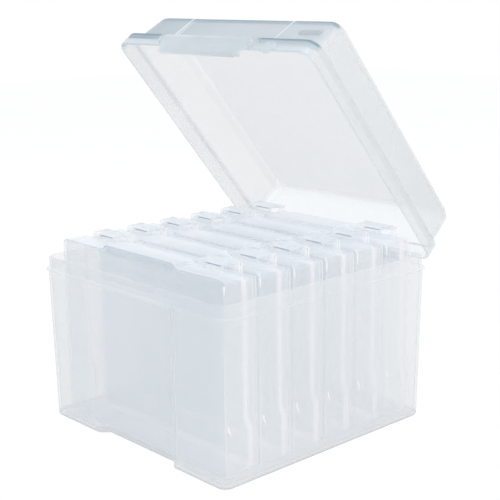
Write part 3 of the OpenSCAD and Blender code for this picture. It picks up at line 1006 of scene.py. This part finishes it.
cover_plastic = polypropylene(
    "cover_polypropylene", tint=(0.69, 0.74, 0.78), milk=(0.78, 0.81, 0.84), edge_highlight_and_shade=painted_edge_highlight,
    opacity=0.12, edge_haze=0.13,
    accents=[(case_top, (0.82, 0.87, 0.92), 0), (side_walls_painted_light, (0.76, 0.78, 0.80), 0),
             (rim_seam_highlight, painted_edge_highlight, 0.03), (back_seam_highlight, painted_edge_highlight, 0.05),
             (back_corner_highlight, (0.97, 0.97, 0.98), 0.15)])


def cover_shell():
    """One cover, in its closed place behind the tray."""
    form = bmesh.new()
    inner = cover_inset + case_wall
    rings = [case_ring(cover_inset + inset, case_t - rise) for inset, rise in quarter(plate_round)]
    rings += [case_ring(cover_inset, lambda z: rim_at(z) + rim_bevel),
              case_ring(cover_inset, rim_at), case_ring(lip_inset, rim_at),
              case_ring(lip_inset, lambda z: rim_at(z) - lip_t + rim_bevel),
              case_ring(lip_inset + rim_bevel, lambda z: rim_at(z) - lip_t),
              case_ring(inner, lambda z: rim_at(z) - lip_t)]
    rings += [case_ring(inner + inset, case_t - case_wall - rise)
              for inset, rise in reversed(quarter(inner_bend))]
    loft(form, rings)
    foot = case_h - cover_inset - case_wall
    y, z = snap_axis
    front = tray_t + ear_root
    ear = rounded([(front, foot, 0), (case_t, foot, 0), (case_t, z, 0.5),
                   (y + 1.2, z + snap_barrel_r, 1.2), (y - 1.2, z + snap_barrel_r, 1.2),
                   (front, case_h, 1)])
    gap_half = snap_half + snap_play
    for side in (-1, 1):
        for edge in (side * snap_x - gap_half - snap_ear_t, side * snap_x + gap_half):
            eye(form, ear, y, z, snap_pin_r + bore_play, edge, edge + snap_ear_t)
    return form


for k in range(1, 7):
    moulded(f"case_{k}_cover", cover_shell(), f"case_{k}", cover_plastic,
            case_place(k))


# The snap latches
# Twelve small flaps with a barrel and integral pins. The front end of each is turned down over the
# tray's catch. One tree makes them, and each is then set on its own hinge.
snap_t = 1.8
snap_foot = 143.0
snap_bend = 1
snap_softening = 0.35
barrel_sides, pin_sides = 28, 20
shade_along = (-6, -2, 11.5, 13)
shade_up = (-0.1, 0.3, 0.8, 1.2)


def under_lip(melt, x, y, z):
    """1 in the thin shade just under the top edge of the turned-down end."""
    at_end = y.ramp(-snap_length + 1, -snap_length + 1.4, 1, 0)
    return at_end * z.between(*shade_up) * x.between(*shade_along)


snap_plastic = polypropylene(
    "snap_polypropylene", tint=(0.68, 0.75, 0.81), milk=(0.76, 0.82, 0.87),
    edge_highlight_and_shade=(0.82, 0.86, 0.90), opacity=0.12, edge_haze=0.12,
    accents=[(under_lip, (0.20, 0.26, 0.38), 0.6)])
snap_tree = bpy.data.node_groups.new("snap latch", "GeometryNodeTree")
snap_tree.interface.new_socket("Latch", in_out="OUTPUT", socket_type="NodeSocketGeometry")
snap_sizes = {
    "Width": 2 * snap_half, "Length": snap_length, "Thickness": snap_t,
    "Drop": snap_axis[1] - snap_foot, "Barrel Radius": snap_barrel_r, "Pin Radius": snap_pin_r,
    "Pin Reach": snap_half + snap_play + snap_ear_t - pin_short,
    "Bend Radius": snap_bend, "Softening": snap_softening}
for label in snap_sizes:
    snap_tree.interface.new_socket(label, in_out="INPUT", socket_type="NodeSocketFloat")
snap_tree.interface.new_socket("Plastic", in_out="INPUT", socket_type="NodeSocketMaterial")

snap = Wire(snap_tree)
given = snap.add("NodeGroupInput").socket.node.outputs
width, length, thickness, drop, barrel_r, small_r, pin_end, bend_r, soften = (
    Wire(snap_tree, given[label]) for label in snap_sizes)


def point(x, y, z):
    """A place made of three values."""
    return snap.add("ShaderNodeCombineXYZ", inputs={0: x, 1: y, 2: z})


def swept(line, profile):
    """A closed solid of that profile along the line."""
    return snap.add("GeometryNodeCurveToMesh", inputs={
        "Curve": line, "Profile Curve": profile, "Fill Caps": True})


def straight(start, end):
    """A straight line."""
    return snap.add("GeometryNodeCurvePrimitiveLine", inputs={"Start": start, "End": end})


def softened(curve, radius, count):
    """The curve with its corners rounded in that many steps."""
    return snap.add("GeometryNodeFilletCurve", {"mode": "POLY"}, {
        "Curve": curve, "Radius": radius, "Count": count, "Limit Radius": True})


level = barrel_r - thickness / 2
tip = thickness / 2 - length
bend_point = point(0, tip, level)
path = snap.add("GeometryNodeJoinGeometry", inputs={0: [
    straight(point(0, 0, level), bend_point), straight(bend_point, point(0, tip, 0 - drop))]})
path = snap.add("GeometryNodeMergeByDistance", inputs={
    "Geometry": snap.add("GeometryNodeCurveToMesh", inputs={"Curve": path}), "Distance": 1e-5})
path = softened(snap.add("GeometryNodeMeshToCurve", inputs={"Mesh": path}), bend_r, 5)
section = snap.add("GeometryNodeCurvePrimitiveQuadrilateral", inputs={
    "Width": width, "Height": thickness})
flap_part = swept(path, softened(section, soften, 2))
rods = []
for half, radius, count in ((width / 2, barrel_r, barrel_sides), (pin_end, small_r, pin_sides)):
    ring = snap.add("GeometryNodeCurvePrimitiveCircle", inputs={
        "Resolution": count, "Radius": radius})
    rods.append(swept(straight(point(0 - half, 0, 0), point(half, 0, 0)), ring))
whole = snap.add("GeometryNodeJoinGeometry", inputs={0: [flap_part, *rods]})
whole = snap.add("GeometryNodeRealizeInstances", inputs={"Geometry": whole})
whole = snap.add("GeometryNodeSetMaterial", inputs={
    "Geometry": whole, "Material": Wire(snap_tree, given["Plastic"])})
snap.add("NodeGroupOutput", inputs={0: whole})


def snap_form():
    """One snap latch, with its hinge axis at the origin."""
    holder = bpy.data.objects.new("snap", bpy.data.meshes.new("snap"))
    bpy.context.collection.objects.link(holder)
    nodes = holder.modifiers.new("latch", "NODES")
    nodes.node_group = snap_tree
    values = {label: size * mm for label, size in snap_sizes.items()}
    values["Plastic"] = snap_plastic
    for socket in snap_tree.interface.items_tree:
        if socket.in_out == "INPUT":
            nodes[socket.identifier] = values[socket.name]
    evaluated = holder.evaluated_get(bpy.context.evaluated_depsgraph_get())
    made = bpy.data.meshes.new_from_object(evaluated)
    holder.modifiers.remove(nodes)
    bpy.data.objects.remove(holder)
    form = bmesh.new()
    form.from_mesh(made)
    bpy.data.meshes.remove(made)
    return form


for k in range(1, 7):
    for side in ("left", "right"):
        name = f"case_{k}_latch_{side}"
        axis = Matrix.Translation(joints[f"case_{k}_snap_{side}"]["pos_m"])
        moulded(name, snap_form(), name, snap_plastic, axis)
